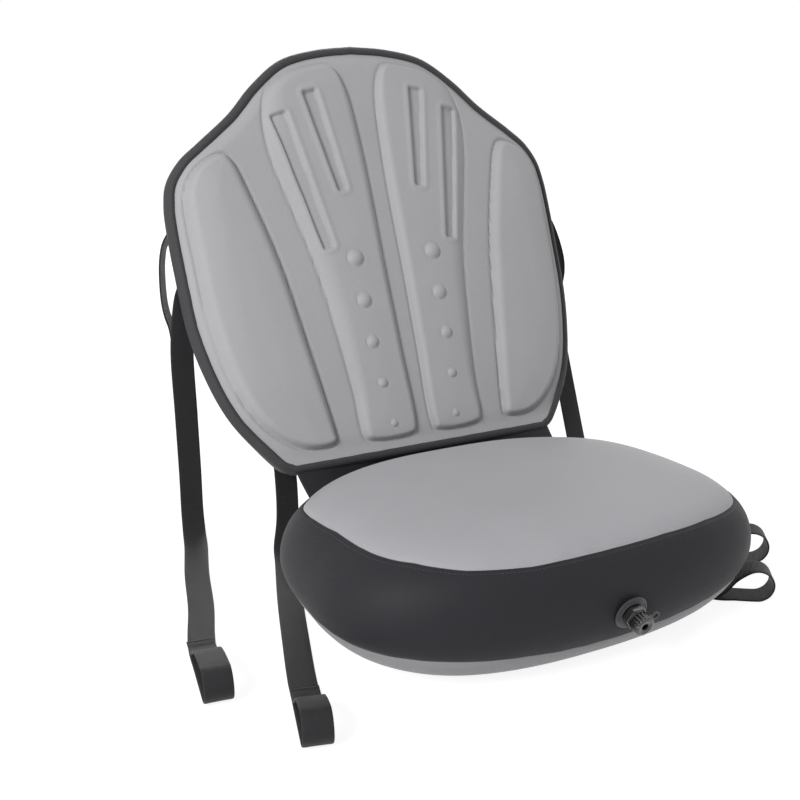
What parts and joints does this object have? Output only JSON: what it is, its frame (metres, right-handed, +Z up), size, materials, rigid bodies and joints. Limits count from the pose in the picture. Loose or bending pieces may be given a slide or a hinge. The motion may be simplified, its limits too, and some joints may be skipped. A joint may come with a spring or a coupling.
{
  "type": "kayak seat",
  "caption": "Inflated seat cushion with a stiffened folding backrest, a screw valve, a rear mesh pocket and adjustable tie-down straps with sewn end loops.",
  "frame": {"origin": "on the floor, at the middle of the cushion's flat underside", "axes": "+Z up, +X to the right as seen from the front, -Y towards the front of the seat"},
  "size_m": [0.5904, 0.5463, 0.4869],
  "materials": {
    "light_grey_fabric": "fine matt coated fabric",
    "dark_fabric": "matt woven fabric",
    "webbing": "cross-ribbed woven webbing",
    "black_webbing": "woven binding",
    "pocket_mesh": "open mesh cloth",
    "black_plastic": "glossy moulded plastic",
    "black_rubber": "satin",
    "stiffener_plastic": "matt sheet",
    "air_cell_film": "satin film"
  },
  "bodies": {
    "cushion": {"air_bladder": "air_cell_film", "cushion_base_panel": "light_grey_fabric", "cushion_side_band": "dark_fabric", "cushion_top_panel": "light_grey_fabric", "hinge_flap": "dark_fabric", "strap_lower_left": "webbing", "strap_lower_right": "webbing", "strap_upper_left": "webbing", "strap_upper_right": "webbing", "valve_collar": "black_plastic", "valve_flange": "black_rubber", "valve_stem": "black_plastic", "valve_tether": "black_rubber"},
    "backrest": {"backrest_front_panel": "light_grey_fabric", "backrest_rear_panel": "light_grey_fabric", "buckle_lower_left": "black_plastic", "buckle_lower_right": "black_plastic", "buckle_upper_left": "black_plastic", "buckle_upper_right": "black_plastic", "edge_binding": "dark_fabric", "pocket_base_band": "black_webbing", "pocket_divider": "black_webbing", "pocket_hem_bottom": "black_webbing", "pocket_hem_top": "black_webbing", "pocket_mesh": "pocket_mesh", "pocket_side_left": "black_webbing", "pocket_side_right": "black_webbing", "stiffener_board": "stiffener_plastic", "tab_lower_left": "black_webbing", "tab_lower_right": "black_webbing", "tab_upper_left": "black_webbing", "tab_upper_right": "black_webbing"},
    "valve_cap": {"valve_cap": "black_plastic"}
  },
  "joints": [
    {"name": "backrest_fold", "type": "hinge", "parent": "cushion", "child": "backrest", "pos_m": [0, 0.1621, 0.0935], "axis": [1, 0, 0], "range_deg": [-60, 90], "deforming": ["hinge_flap", "strap_upper_left", "strap_upper_right", "strap_lower_left", "strap_lower_right"]},
    {"name": "valve_turn", "type": "hinge", "parent": "cushion", "child": "valve_cap", "pos_m": [0.01171, -0.16667, 0.06091], "axis": [0.005, -0.9781, -0.2079], "range_deg": [0, 180]}
  ]
}
